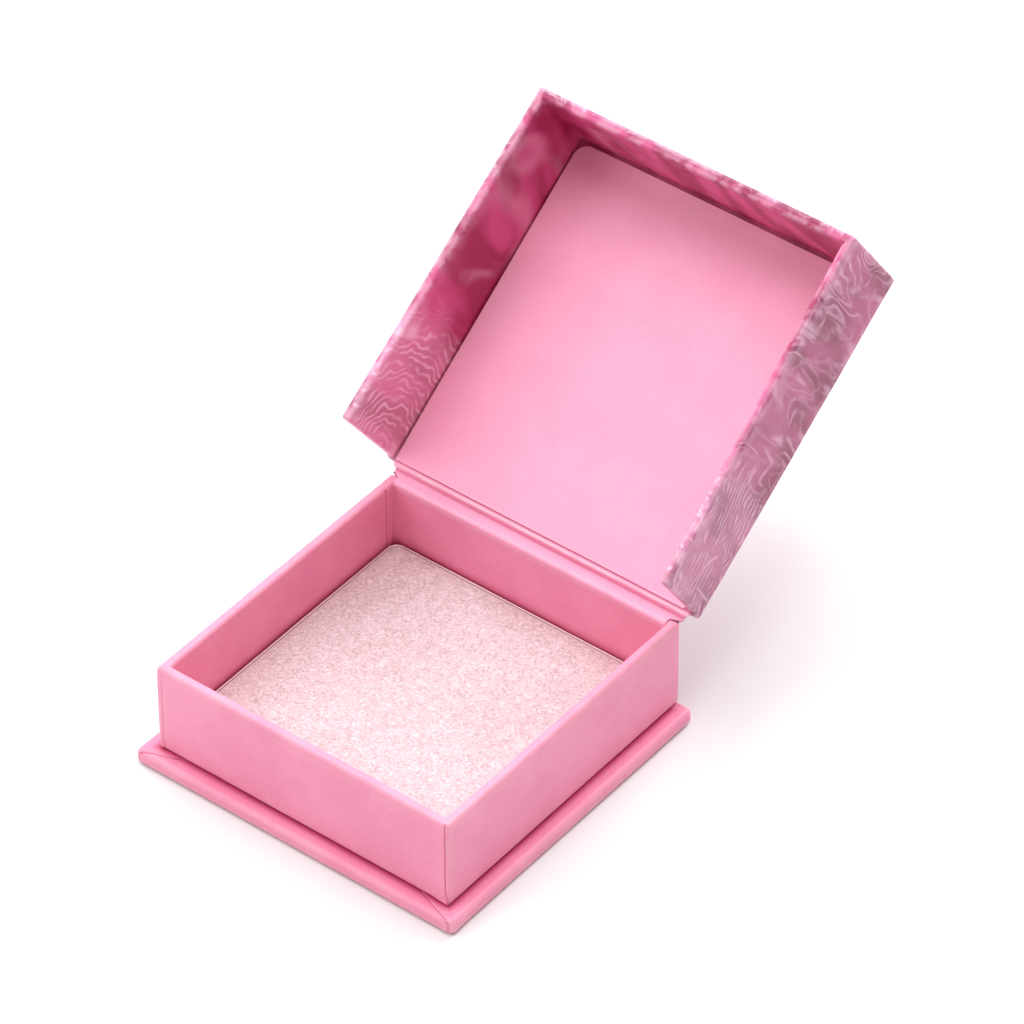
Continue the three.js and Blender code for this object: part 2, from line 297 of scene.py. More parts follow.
class Look:
    """A procedural material under construction. Its place vector is in millimetres."""

    def __init__(self, name):
        self.material = bpy.data.materials.new(name)
        self.material.use_nodes = True
        self.tree = self.material.node_tree
        self.shader = self.tree.nodes["Principled BSDF"]
        coordinates = self.tree.nodes.new("ShaderNodeTexCoord")
        self.place = self.vector("SCALE", coordinates.outputs["Object"], scale=1 / MM)

    def join(self, socket, value):
        """Links a node's output to the socket, or sets a plain number or colour on it."""
        if isinstance(value, bpy.types.NodeSocket):
            self.tree.links.new(value, socket)
        elif isinstance(value, tuple) and len(value) == 3 and socket.type == "RGBA":
            socket.default_value = (*value, 1.0)
        else:
            socket.default_value = value

    def set(self, **values):
        for name, value in values.items():
            self.join(self.shader.inputs[name.replace("_", " ")], value)

    def vector(self, operation, first, second=None, scale=None):
        node = self.tree.nodes.new("ShaderNodeVectorMath")
        node.operation = operation
        self.join(node.inputs[0], first)
        if second is not None:
            self.join(node.inputs[1], second)
        if scale is not None:
            self.join(node.inputs["Scale"], scale)
        return node.outputs[0]

    def math(self, operation, first, second=0.5):
        node = self.tree.nodes.new("ShaderNodeMath")
        node.operation = operation
        self.join(node.inputs[0], first)
        self.join(node.inputs[1], second)
        return node.outputs[0]

    def noise(self, size, detail=2.0, place=None, colour=False, roughness=0.5):
        """Noise whose features are about size millimetres across."""
        node = self.tree.nodes.new("ShaderNodeTexNoise")
        self.join(node.inputs["Vector"], place or self.place)
        self.join(node.inputs["Scale"], 1 / size)
        self.join(node.inputs["Detail"], detail)
        self.join(node.inputs["Roughness"], roughness)
        return node.outputs["Color" if colour else 0]

    def specks(self, size):
        """The distance to the nearest of many scattered points, about size millimetres apart."""
        node = self.tree.nodes.new("ShaderNodeTexVoronoi")
        node.feature = "F1"
        self.join(node.inputs["Vector"], self.place)
        self.join(node.inputs["Scale"], 1 / size)
        return node.outputs["Distance"]

    def levels(self, size, count, place, width=0.26):
        """Thin bright lines along evenly spaced level curves of noise, which nest inside one another."""
        steps = self.math("MULTIPLY", self.noise(size, 1.0, place), count)
        away = self.math("PINGPONG", steps, 1.0)
        return self.ramp(away, 0.0, width, 1.0, 0.0)

    def measure(self, operation, first, second):
        """A number made from two vectors, such as the distance between them."""
        node = self.tree.nodes.new("ShaderNodeVectorMath")
        node.operation = operation
        self.join(node.inputs[0], first)
        self.join(node.inputs[1], second)
        return node.outputs["Value"]

    def stripes(self, value, spacing, width):
        """Soft bright stripes wherever a value in millimetres passes a multiple of the spacing."""
        away = self.math("PINGPONG", value, spacing / 2)
        return self.ramp(away, 0.0, width, 1.0, 0.0)

    def ramp(self, value, low, high, to_low=0.0, to_high=1.0):
        """A smooth step of a value from low to high."""
        node = self.tree.nodes.new("ShaderNodeMapRange")
        node.interpolation_type = "SMOOTHSTEP"
        for name, number in (
            ("Value", value),
            ("From Min", low),
            ("From Max", high),
            ("To Min", to_low),
            ("To Max", to_high),
        ):
            self.join(node.inputs[name], number)
        return node.outputs[0]

    def mix(self, share, first, second):
        """The first colour where share is 0 and the second where it is 1."""
        node = self.tree.nodes.new("ShaderNodeMix")
        node.data_type = "RGBA"
        self.join(node.inputs["Factor"], share)
        self.join(node.inputs[6], first)
        self.join(node.inputs[7], second)
        return node.outputs[2]

    def blend(self, share, first, second):
        """The first number where share is 0 and the second where it is 1."""
        rest = self.math("MULTIPLY", first, self.math("SUBTRACT", 1.0, share))
        return self.math("ADD", rest, self.math("MULTIPLY", second, share))

    def warped(self, size, amount, place=None):
        """The place vector, pushed about by noise."""
        shift = self.vector("SUBTRACT", self.noise(size, 1.0, place, colour=True), (0.5, 0.5, 0.5))
        return self.vector("ADD", place or self.place, self.vector("SCALE", shift, scale=amount))

    def stored(self, name, vector=False):
        """A value that the mesh holds at each point."""
        node = self.tree.nodes.new("ShaderNodeAttribute")
        node.attribute_name = name
        return node.outputs["Vector" if vector else "Fac"]

    def bump(self, height, depth, strength=1.0):
        """A bump of that depth in millimetres for a height from 0 to 1."""
        node = self.tree.nodes.new("ShaderNodeBump")
        self.join(node.inputs["Height"], height)
        self.join(node.inputs["Distance"], depth * MM)
        self.join(node.inputs["Strength"], strength)
        self.set(Normal=node.outputs[0])


PAINTED_SHADE_TONE = (0.50, 0.025, 0.115)  # painted shade: paper in a deep crease or a contact shadow, lit only by light off its own colour


def covering_paper(name, colour, deep, pale, roughness):
    """Smooth dyed paper, with slow mottling, a fine fibre grain, wear and painted highlight on its edges,
    and painted shade in creases and contact shadows.
    """
    look = Look(name)
    mottle = look.noise(9.0, 3.0)
    tone = look.mix(look.ramp(mottle, 0.35, 0.7), deep, colour)
    fibre = look.noise(0.28, 3.0, look.warped(2.0, 0.8))
    tone = look.mix(look.ramp(fibre, 0.35, 0.75, 0.0, 0.16), tone, pale)
    # Wear and painted highlight: convex edges are lightened towards the pale colour.
    wear_and_highlight = look.math("MULTIPLY", look.stored("edge"), look.ramp(look.noise(5.0, 2.0), 0.3, 0.7, 0.08, 0.24))
    tone = look.mix(wear_and_highlight, tone, pale)
    # Painted shade: creases, grooves and contact shadows, as each piece stores them, darkened towards the
    # shade tone.
    tone = look.mix(look.math("MULTIPLY", look.stored("painted_shade"), 0.9), tone, PAINTED_SHADE_TONE)
    gloss = look.ramp(look.noise(3.0, 2.0), 0.3, 0.7, roughness - 0.04, roughness + 0.05)
    look.set(Base_Color=tone, Roughness=gloss, Specular_IOR_Level=0.5)
    look.bump(fibre, 0.012)
    return look.material


def outer_print(look, drift, swirl, cloud):
    """The lid's outer faces: nested arcs that break up into fainter threads, with pale clouds."""
    breaks = look.ramp(look.noise(4.4, 2.0, drift), 0.38, 0.62)
    arcs = look.math("MULTIPLY", look.levels(8.0, 20.0, swirl, 0.55), breaks)
    threads = look.levels(4.6, 8.0, drift, 0.4)
    threads = look.math("MULTIPLY", threads, look.math("SUBTRACT", 1.0, breaks))
    veins = look.math("MAXIMUM", arcs, look.math("MULTIPLY", threads, 0.4))
    return look.math("MAXIMUM", veins, look.math("MULTIPLY", cloud, 0.95))


def inner_print(look, drift, cloud):
    """The walls' inner faces: a few soft strands and faint clouds."""
    strands = look.levels(16.0, 5.0, drift, 0.3)
    strands = look.math("MULTIPLY", strands, look.ramp(look.noise(9.0), 0.38, 0.6))
    return look.math("MAXIMUM", strands, look.math("MULTIPLY", cloud, 0.2))


def ripple_print(look, drift, margin):
    """Towards the hinge: streaks along the walls outside and nested rings inside, crossed by veins."""
    across = look.measure("DOT_PRODUCT", look.warped(4.5, 4.5), (0.0, -0.28, 0.96))
    streaks = look.stripes(across, 1.5, 0.5)
    flat = look.vector("MULTIPLY", look.warped(4.5, 4.8), (0.0, 1.0, 1.0))
    rings = look.stripes(look.measure("DISTANCE", flat, (0.0, 0.5, -7.0)), 1.4, 0.42)
    ripples = look.blend(margin, streaks, rings)
    breaks = look.ramp(look.noise(2.4, 2.0, drift), 0.36, 0.6, 0.1, 1.0)
    ripples = look.math("MULTIPLY", ripples, breaks)
    veins = look.levels(12.0, 7.0, drift, 0.2)
    veins = look.math("MULTIPLY", veins, look.ramp(look.noise(5.0), 0.45, 0.6))
    return look.math("MAXIMUM", ripples, veins)


def patterned_paper():
    """Paper printed with a pattern of light in rippled water: pale veins over mauve and magenta.

    The stored value margin is 1 on the deeper, calmer print inside the lid, and ripple is 1 where the
    print turns into fine ripples, towards the hinge.
    """
    look = Look("patterned_paper")
    look.place = look.stored("print", vector=True)
    margin = look.stored("margin")
    ripple = look.stored("ripple")
    long_way = look.vector("MULTIPLY", look.place, (1.0, 1.0, 0.42))
    drift = look.warped(15.0, 9.0, long_way)
    swirl = look.warped(5.0, 3.0, drift)
    cloud = look.ramp(look.noise(3.2, 2.5, swirl), 0.54, 0.72)

    blotch = look.ramp(look.noise(7.0, 1.5, drift), 0.38, 0.62)
    mauve = look.mix(blotch, (0.27, 0.026, 0.095), (0.47, 0.085, 0.21))
    magenta = look.mix(blotch, (0.38, 0.016, 0.095), (0.66, 0.085, 0.25))
    ground = look.mix(margin, mauve, magenta)

    outside = look.math("MULTIPLY", outer_print(look, drift, swirl, cloud), 0.5)
    inside = look.math("MULTIPLY", inner_print(look, drift, cloud), 0.27)
    haze = look.blend(margin, 0.17, 0.31)
    contrast = look.blend(margin, 0.5, 0.6)
    rippled = look.math("MULTIPLY", ripple_print(look, drift, margin), contrast)
    rippled = look.math("ADD", haze, rippled)
    bright = look.blend(ripple, look.blend(margin, outside, inside), rippled)
    light = look.mix(margin, (0.85, 0.50, 0.68), (0.95, 0.58, 0.74))
    tone = look.mix(bright, ground, light)

    # Painted shade: creases, the walls' foot at the liner and the corner hole darkened towards deep crimson.
    shaded = look.math("MULTIPLY", look.stored("painted_shade"), 0.62)
    tone = look.mix(shaded, tone, (0.28, 0.015, 0.045))
    # Wear and painted highlight: convex edges lightened towards pale pink.
    rub_and_highlight = look.ramp(look.noise(2.5, 2.0), 0.35, 0.62, 0.06, 0.42)
    wear_and_highlight = look.math("MULTIPLY", look.stored("edge"), rub_and_highlight)
    tone = look.mix(wear_and_highlight, tone, (0.92, 0.56, 0.70))
    look.set(Base_Color=tone, Specular_IOR_Level=0.35)
    look.set(Roughness=look.ramp(look.noise(2.5, 2.0), 0.3, 0.7, 0.32, 0.44))
    look.bump(look.noise(0.3, 3.0), 0.01)
    return look.material


def powder_look():
    """Pressed powder: a pale body, painted darker and rosier in the pits and paler on the crests as shade
    and highlight, with fine pale specks painted brighter as glints.
    """
    look = Look("pressed_powder")
    grain = look.stored("grain")
    slow = look.noise(12.0, 2.0)
    body = look.mix(look.ramp(slow, 0.3, 0.7), (0.645, 0.475, 0.50), (0.67, 0.52, 0.545))
    # Painted shade in the pits and painted highlight on the crests of the pressed relief.
    tone = look.mix(look.ramp(grain, 0.3, 0.5, 0.7, 0.0), body, (0.47, 0.315, 0.325))
    tone = look.mix(look.ramp(grain, 0.53, 0.74, 0.0, 0.65), tone, (0.84, 0.74, 0.755))
    # Pale shimmer specks, painted brighter towards white as glints, and given a lower roughness.
    speck_and_painted_glint = look.ramp(look.specks(0.22), 0.0, 0.28, 1.0, 0.0)
    lucky = look.ramp(look.noise(0.24, 0.0), 0.58, 0.68)
    speck_and_painted_glint = look.math("MULTIPLY", speck_and_painted_glint, lucky)
    tone = look.mix(look.math("MULTIPLY", speck_and_painted_glint, 0.8), tone, (1.0, 0.93, 0.93))
    look.set(Base_Color=tone, Roughness=look.ramp(speck_and_painted_glint, 0.0, 1.0, 0.55, 0.25))
    look.set(Specular_IOR_Level=0.5, Sheen_Weight=0.25, Sheen_Roughness=0.4)
    look.bump(look.noise(0.16, 3.0, roughness=0.7), 0.02)
    return look.material


def metal_look():
    """Thin satin metal with fine drawing marks."""
    look = Look("pan_metal")
    stretched = look.vector("MULTIPLY", look.place, (1.0, 1.0, 12.0))
    marks = look.noise(0.6, 3.0, stretched)
    look.set(Base_Color=look.mix(look.ramp(marks, 0.3, 0.7), (0.80, 0.56, 0.58), (0.90, 0.68, 0.70)))
    look.set(Metallic=0.45, Roughness=look.ramp(marks, 0.3, 0.7, 0.4, 0.55))
    look.bump(marks, 0.005)
    return look.material


def board_look(name, dark, light, fibre_size):
    """Raw board or kraft paper: pressed fibres with flecks."""
    look = Look(name)
    fibres = look.noise(fibre_size, 4.0, look.warped(1.5, 1.5), roughness=0.7)
    tone = look.mix(look.ramp(fibres, 0.3, 0.7), dark, light)
    flecks = look.ramp(look.noise(0.5, 1.0), 0.68, 0.75, 0.0, 0.7)
    tone = look.mix(flecks, tone, (0.12, 0.10, 0.09))
    look.set(Base_Color=tone, Roughness=look.ramp(fibres, 0.3, 0.7, 0.8, 0.95))
    look.bump(fibres, 0.05)
    return look.material


PINK = covering_paper("pink_paper", (0.88, 0.275, 0.445), (0.84, 0.24, 0.405), (0.95, 0.60, 0.58), 0.42)
LINER = covering_paper("liner_card", (0.90, 0.35, 0.52), (0.88, 0.325, 0.49), (0.96, 0.60, 0.70), 0.5)
PATTERN = patterned_paper()
POWDER = powder_look()
METAL = metal_look()
GREYBOARD = board_look("greyboard", (0.30, 0.27, 0.24), (0.46, 0.43, 0.39), 0.5)
KRAFT = board_look("kraft_tape", (0.42, 0.28, 0.15), (0.60, 0.43, 0.25), 0.35)


def dress_hidden_nodes():
    """The boards, the stays and the tray's lining keep their CAD shape."""
    for name, node in frame["nodes"].items():
        if "stay" in name:
            node.material_slots[0].material = KRAFT
        elif "board" in name or "_wall_" in name:
            node.material_slots[0].material = GREYBOARD
        elif name == "tray_bottom_paper":
            node.material_slots[0].material = PINK


# ---- Base -------------------------------------------------------------------------------------------

FOLD_LEAN = 0.33  # a corner fold moves in this much from the front for each step from the side
FOLD_BEND = 0.004
FOLD_WIDTH = 0.06


def past_fold(point, low, high):
    """How far behind the nearer corner fold's line a point is. The fold runs in from each front corner."""
    from_side = high.x - abs(point.x)
    line = FOLD_LEAN * from_side + FOLD_BEND * from_side**2
    return point.y - low.y - line


def fold_reach(point, low, high):
    """1 on the upper side near a front corner, where the fold shows, and 0 away from it."""
    if point.z < low.z + 0.6:
        return 0.0
    return 1 - smooth_step(9.0, 13.0, high.x - abs(point.x))


def make_base():
    """The base board's paper, turned in on top, with a mitred fold at each front corner."""
    low, high = node_box("base_wrap")
    edge = BASE_ROUNDING
    top = high.z
    under = joined(
        [(8.0, low.z)],
        arc(edge, low.z + edge, edge, 270, 180),
        arc(edge, top - edge, edge, 180, 90, steps=10),
        spacing=0.5,
    )
    strip = between((edge, top), (3.4, top), 0.07) + [(3.4, top), (TURN_IN, top)]
    inside = [(TURN_IN, top - PAPER), (edge, top - PAPER), (PAPER, top - edge)]
    inside += [(PAPER, low.z + edge), (edge, low.z + PAPER), (8.0, low.z + PAPER)]
    near_corner = {k / 300 for k in range(3, 45)}
    far_corner = {1 - k / 300 for k in range(3, 45)}
    front = sorted(near_corner | far_corner | set(even_columns(30)))
    sides = sorted({k / 150 for k in range(2, 20)} | set(even_columns(24)))
    left = [1 - share for share in reversed(sides)]
    columns = [sides, even_columns(20), left, front]
    piece = stack("base_wrap_paper", low, high, [BASE_CORNER] * 4, under + strip + inside, columns)
    tray_low, tray_high = node_box("tray_wrap")

    # Painted shade: a contact shadow on the base's top beside the tray's foot, and a shadow line along each
    # corner fold.
    def painted_shade(point):
        if point.z < low.z + 0.6:
            return 0.0
        outside_tray = max(abs(point.x) - tray_high.x, abs(point.y) - tray_high.y)
        beside_tray = (1 - smooth_step(-0.1, 1.7, outside_tray)) ** 1.6
        in_fold = 0.7 * groove(past_fold(point, low, high), FOLD_WIDTH) * fold_reach(point, low, high)
        return min(1.0, beside_tray + in_fold)

    uneven = hand_made(14.0, 0.05, 1)
    store(piece, "painted_shade", painted_shade)
    displace(
        piece,
        lambda p: lap(past_fold(p, low, high), 5.0, FOLD_WIDTH, FOLD_STEP) * fold_reach(p, low, high),
    )
    displace(piece, lambda p: uneven(p) * smooth_step(low.z + 0.3, low.z + 1.2, p.z))
    finish_mesh(piece, PINK)
    stand_for(piece, "tray_base", "base_wrap")


# ---- Tray -------------------------------------------------------------------------------------------

NEAR_LAP = 0.75  # on the front face, from the right corner: the front's paper ends here
FAR_LAP = 1.05  # on the front face, from the left corner: the left side's paper ends here
LINING_LAP = 1.9  # inside: the rear wall's paper laps on to the left wall by this much
CORNER_LAP = 0.45  # inside: a second fold line, close to the rear left corner


def near_lap_bend(height_above_foot):
    """The lap at the near corner curves towards the corner at its foot."""
    return 0.5 * (1 - smooth_step(0.3, 3.2, height_above_foot))


def bend_near_lap(piece, low, high):
    """Moves the columns of points along the near lap, so that they follow its curve."""
    lap_x = high.x - NEAR_LAP
    for vertex in piece.data.vertices:
        place = vertex.co
        if place.y < low.y + 0.3:
            close = 1 - smooth_step(0.2, 0.7, abs(place.x - lap_x))
            place.x += near_lap_bend(place.z - low.z) * close
    piece.data.update()


def tray_laps(low, high):
    """How far the lapping papers lift the tray's surface, outside and inside."""
    def height(point):
        rise = 0.0
        outside_front = point.y < low.y + 0.4
        inside_left = low.x + WALL - 0.4 < point.x < low.x + WALL + 0.3
        if outside_front and point.z > low.z + 0.2:
            lap_x = high.x - NEAR_LAP + near_lap_bend(point.z - low.z)
            rise += lap(lap_x - point.x, 5.0)
            below_rim = 1 - smooth_step(high.z - 1.6, high.z - 0.9, point.z)
            rise += 0.4 * lap(low.x + FAR_LAP - point.x, 3.0) * below_rim
        if inside_left and point.y > 0:
            from_corner = high.y - WALL - point.y
            rise += lap(LINING_LAP - from_corner, 4.0)
            rise += 0.6 * lap(CORNER_LAP - from_corner, 1.0)
        return rise

    return height


def tray_painted_shade(low, high):
    """Painted shade at the tray's foot outside, beside the pan inside, and along the laps' shadow lines."""
    pan_top = node_box("powder_pan")[1].z

    def depth(point):
        to_inner = min(high.x - abs(point.x), high.y - abs(point.y))
        if to_inner > WALL - 0.3:
            beside_pan = 1 - smooth_step(pan_top - 0.2, pan_top + 1.1, point.z)
            from_corner = high.y - WALL - point.y
            lines = 0.0
            if point.x < 0 and point.y > 0:
                lines = groove(LINING_LAP - from_corner) + groove(CORNER_LAP - from_corner)
            return min(1.0, 0.9 * beside_pan + 0.5 * lines)
        foot = 1 - smooth_step(low.z + 0.1, low.z + 0.55, point.z)
        lap_x = high.x - NEAR_LAP + near_lap_bend(point.z - low.z)
        line = groove(lap_x - point.x) if point.y < low.y + 0.4 and point.z < high.z - 0.8 else 0.0
        return min(1.0, 0.8 * foot + 0.4 * line)

    return depth


def make_tray():
    """The tray's paper: up the outside, over the rounded rim and down the inside, as one closed sheet."""
    low, high = node_box("tray_wrap")
    floor = node_box("tray_bottom_paper")[0].z
    foot, rim, lip = low.z, high.z, LIP_ROUNDING
    outside = joined(
        [(TURN_IN, foot), (2.0, foot)],
        arc(FOOT_ROUNDING, foot + FOOT_ROUNDING, FOOT_ROUNDING, 270, 180, 4),
        arc(lip, rim - lip, lip, 180, 90, 7),
        arc(WALL - lip, rim - lip, lip, 90, 0, 7),
        [(WALL, floor)],
    )
    turn = lip - PAPER
    back = joined(
        [(WALL - PAPER, floor)],
        arc(WALL - lip, rim - lip, turn, 0, 90, 3),
        arc(lip, rim - lip, turn, 90, 180, 3),
        [(PAPER, foot + PAPER), (TURN_IN, foot + PAPER)],
        spacing=12,
    )
    width = high.x - low.x - 2 * CORNER_ROUNDING
    depth = high.y - low.y - 2 * CORNER_ROUNDING
    inner_length = high.y - low.y - 2 * (WALL + SMALLEST_CORNER)
    inner_laps = [(near - SMALLEST_CORNER) * depth / inner_length for near in (LINING_LAP, CORNER_LAP)]
    front_laps = [FAR_LAP - CORNER_ROUNDING, width + CORNER_ROUNDING - NEAR_LAP]
    columns = [
        columns_with_laps(depth, []),
        columns_with_laps(width, []),
        columns_with_laps(depth, inner_laps),
        columns_with_laps(width, front_laps),
    ]
    piece = stack("tray_wrap_paper", low, high, [CORNER_ROUNDING] * 4, outside + back, columns, closed=True)
    bend_near_lap(piece, low, high)
    store(piece, "painted_shade", tray_painted_shade(low, high))
    displace(piece, tray_laps(low, high))
    displace(piece, hand_made(13.0, 0.07, 2))
    finish_mesh(piece, PINK)
    stand_for(piece, "tray_base", "tray_wrap")


# ---- Pan and powder ---------------------------------------------------------------------------------

PAN_CORNER = 2.0
PAN_SHEET = 0.3
CAKE_CORNER = 1.65
CAKE_STEP = 0.16  # spacing of the powder's surface points
GRAIN = 0.42  # size of the powder's grain
GRAIN_SEED = 7  # for noise_vector, whose numbers otherwise change from run to run


def make_pan():
    """The thin metal pan, with a rounded rim."""
    low, high = node_box("powder_pan")
    half = PAN_SHEET / 2
    rings = joined(
        [(3.0, low.z)],
        arc(0.4, low.z + 0.4, 0.4, 270, 180, 3),
        arc(half, high.z - half, half, 180, 0, 8),
        [(PAN_SHEET, low.z + PAN_SHEET + 0.2), (3.0, low.z + PAN_SHEET)],
    )
    piece = stack("powder_pan_metal", low, high, [PAN_CORNER] * 4, rings, [even_columns(36)] * 4)
    displace(piece, hand_made(9.0, 0.04, 3))
    finish_mesh(piece, METAL)
    stand_for(piece, "tray_base", "powder_pan")


def grain_height(x, y):
    """The powder's pressed grain at a place, from 0 in a pit to 1 on a crest."""
    place = Vector((x, y, 0.0))
    push = noise.noise_vector(place / 1.3) * 0.5
    place = place + push
    coarse = noise.noise(place / GRAIN)
    broad = noise.noise(place / (4.0 * GRAIN) + Vector((9.0, 4.0, 2.0)))
    fine = noise.noise(place / (0.5 * GRAIN) + Vector((3.0, 8.0, 5.0)))
    return 0.5 + 0.34 * coarse + 0.3 * fine + 0.12 * broad


def on_quarter_disc(across, along):
    """Where a place in a corner square of side 1 goes when the square becomes a quarter disc."""
    return across * math.sqrt(1 - along * along / 2), along * math.sqrt(1 - across * across / 2)


def rounded_place(x, y, half_x, half_y, corner):
    """Moves a point of a rectangle so that its corner squares become quarter discs."""
    over_x = (abs(x) - (half_x - corner)) / corner
    over_y = (abs(y) - (half_y - corner)) / corner
    if over_x <= 0 or over_y <= 0:
        return x, y
    disc_x, disc_y = on_quarter_disc(over_x, over_y)
    return (
        math.copysign(half_x - corner + disc_x * corner, x),
        math.copysign(half_y - corner + disc_y * corner, y),
    )


def make_powder():
    """The pressed cake: a fine grid of grains, sinking a little at its edge."""
    low, high = node_box("pressed_powder")
    half_x, half_y = high.x, high.y
    count_x = round(2 * half_x / CAKE_STEP)
    count_y = round(2 * half_y / CAKE_STEP)
    relief = 0.07
    edge = 0.3
    points = []
    grains = []
    for j in range(count_y + 1):
        for i in range(count_x + 1):
            raw_x = -half_x + 2 * half_x * i / count_x
            raw_y = -half_y + 2 * half_y * j / count_y
            from_edge = min(half_x - abs(raw_x), half_y - abs(raw_y))
            x, y = rounded_place(raw_x, raw_y, half_x, half_y, CAKE_CORNER)
            grain = grain_height(x, y)
            drop = edge - math.sqrt(max(0.0, edge * edge - max(0.0, edge - from_edge) ** 2))
            calm = smooth_step(0.0, 0.7, from_edge)
            slow = 0.05 * noise.noise(Vector((x, y, 7.0)) / 16.0)
            points.append((x, y, high.z - drop * 0.5 + relief * (grain - 0.6) * calm + slow * calm))
            grains.append(min(1.0, max(0.0, grain)) * calm + 0.5 * (1 - calm))
    across = count_x + 1
    faces = []
    for j in range(count_y):
        for i in range(count_x):
            first = j * across + i
            faces.append((first, first + 1, first + across + 1, first + across))
    border = list(range(across))
    border += [j * across + count_x for j in range(1, count_y + 1)]
    border += [count_y * across + i for i in range(count_x - 1, -1, -1)]
    border += [j * across for j in range(count_y - 1, 0, -1)]
    foot = len(points)
    for k in border:
        points.append((points[k][0], points[k][1], low.z))
        grains.append(0.5)
    for k in range(len(border)):
        k_next = (k + 1) % len(border)
        faces.append((border[k], foot + k, foot + k_next, border[k_next]))
    faces.append(tuple(foot + k for k in reversed(range(len(border)))))
    piece = build("pressed_powder_cake", points, faces)
    attribute = piece.data.attributes.new("grain", "FLOAT", "POINT")
    attribute.data.foreach_set("value", grains)
    finish_mesh(piece, POWDER, sharp=60, weighted=False)
    stand_for(piece, "tray_base", "pressed_powder")


# ---- Paper hinge ------------------------------------------------------------------------------------


def curve_number(numbers, t):
    """A number on the smooth curve from the second of four numbers to the third, at t from 0 to 1."""
    a, b, c, d = numbers
    squared = 2 * a - 5 * b + 4 * c - d
    cubed = 3 * b - a - 3 * c + d
    return 0.5 * (2 * b + (c - a) * t + squared * t * t + cubed * t**3)


def smooth_path(points, steps=6):
    """A smooth curve through points in a plane."""
    ends = [points[0], *points, points[-1]]
    path = []
    for p0, p1, p2, p3 in zip(ends, ends[1:], ends[2:], ends[3:]):
        for k in range(steps):
            t = k / steps
            path.append(
                tuple(curve_number(numbers, t) for numbers in zip(p0, p1, p2, p3))
            )
    path.append(points[-1])
    return path


def ribbon(name, path, thickness, reach, spans, wave):
    """A paper band: a path of (y, z) points carried along X, with its thickness on the path's right side.

    reach(share, side) gives how far the band reaches to the left or right at a share of the path.
    wave(x, share) gives how far the paper stands off its path there.
    """
    count = len(path)
    normals = []
    for k in range(count):
        before = path[max(0, k - 1)]
        after = path[min(count - 1, k + 1)]
        along = Vector((after[0] - before[0], after[1] - before[1])).normalized()
        normals.append((-along.y, along.x))
    points = []

    def place_across(i, share):
        left = -reach(share, "left")
        return left + (reach(share, "right") - left) * i / spans

    for i in range(spans + 1):
        for k, ((y, z), (normal_y, normal_z)) in enumerate(zip(path, normals)):
            share = k / (count - 1)
            x = place_across(i, share)
            off = wave(x, share)
            points.append((x, y + normal_y * off, z + normal_z * off))
        for k in reversed(range(count)):
            y, z = path[k]
            normal_y, normal_z = normals[k]
            share = k / (count - 1)
            x = place_across(i, share)
            off = wave(x, share) - thickness
            points.append((x, y + normal_y * off, z + normal_z * off))
    around = 2 * count
    faces = []
    for i in range(spans):
        for k in range(around):
            k_next = (k + 1) % around
            first = i * around
            faces.append((first + k, first + k_next, first + around + k_next, first + around + k))
    faces.append(tuple(reversed(range(around))))
    faces.append(tuple(range(spans * around, (spans + 1) * around)))
    return build(name, points, faces)


STRIP_REACH = {"left": 30.7, "right": 31.25}  # the free part of the strip, behind the tray
STRIP_TOP_REACH = {"left": 31.1, "right": 32.3}  # its upper edge, behind the lid's wall ends


def make_hinge_strip():
    """The pink paper from inside the tray, over the rear wall's top, to under the liner's rear edge."""
    low, high = node_box("hinge_strip")
    liner_low = node_box("lid_liner")[0]
    inner, top = low.y, high.z
    crease_path = smooth_path(
        [
            (inner - 0.12, top - 1.6),
            (inner - 0.12, top - 0.75),
            (inner + 0.05, top - 0.3),
            (inner + 0.45, top - 0.05),
            (inner + 1.1, top - 0.01),
            (inner + 1.9, top - 0.01),
            (inner + 2.3, top + 0.02),
            (inner + 2.52, top + 0.22),
            (inner + 2.5, top + 0.6),
            (inner + 2.38, top + 1.0),
            (inner + 2.42, top + 1.38),
            (inner + 2.68, top + 1.62),
            (inner + 2.93, top + 1.74),
            (liner_low.y + 0.2, liner_low.z + 0.16),
        ]
    )

    def reach(share, side):
        wide = high.x + (STRIP_REACH[side] - high.x) * smooth_step(0.315, 0.385, share)
        return wide + (STRIP_TOP_REACH[side] - STRIP_REACH[side]) * smooth_step(0.56, 0.8, share)

    def wave(x, share):
        return 0.05 * noise.noise(Vector((x / 7.0, share * 4.0, 3.0))) * smooth_step(0.35, 0.6, share)

    # Painted shade in the strip's two creases.
    def painted_shade(point):
        first = 1 - smooth_step(0.0, 0.32, math.dist((point.y, point.z), (inner + 2.5, top + 0.2)))
        second = 1 - smooth_step(0.0, 0.3, math.dist((point.y, point.z), (inner + 2.95, top + 1.8)))
        return min(1.0, 0.4 * first + 0.7 * second)

    # Painted highlight on the bead and over the lip, stored as edge values that the material lightens like
    # worn edges.
    def edge(point):
        on_bead = 1 - smooth_step(0.1, 0.42, math.dist((point.y, point.z), (inner + 2.42, top + 1.3)))
        on_lip = 1 - smooth_step(0.1, 0.5, math.dist((point.y, point.z), (inner + 0.2, top - 0.1)))
        return 4.0 * on_bead + 1.0 * on_lip

    piece = ribbon("hinge_strip_paper", crease_path, STRIP, reach, 64, wave)
    store(piece, "painted_shade", painted_shade)
    store(piece, "edge", edge)
    finish_mesh(piece, LINER, sharp=60)
    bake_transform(piece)
    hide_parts("hinge_strip")


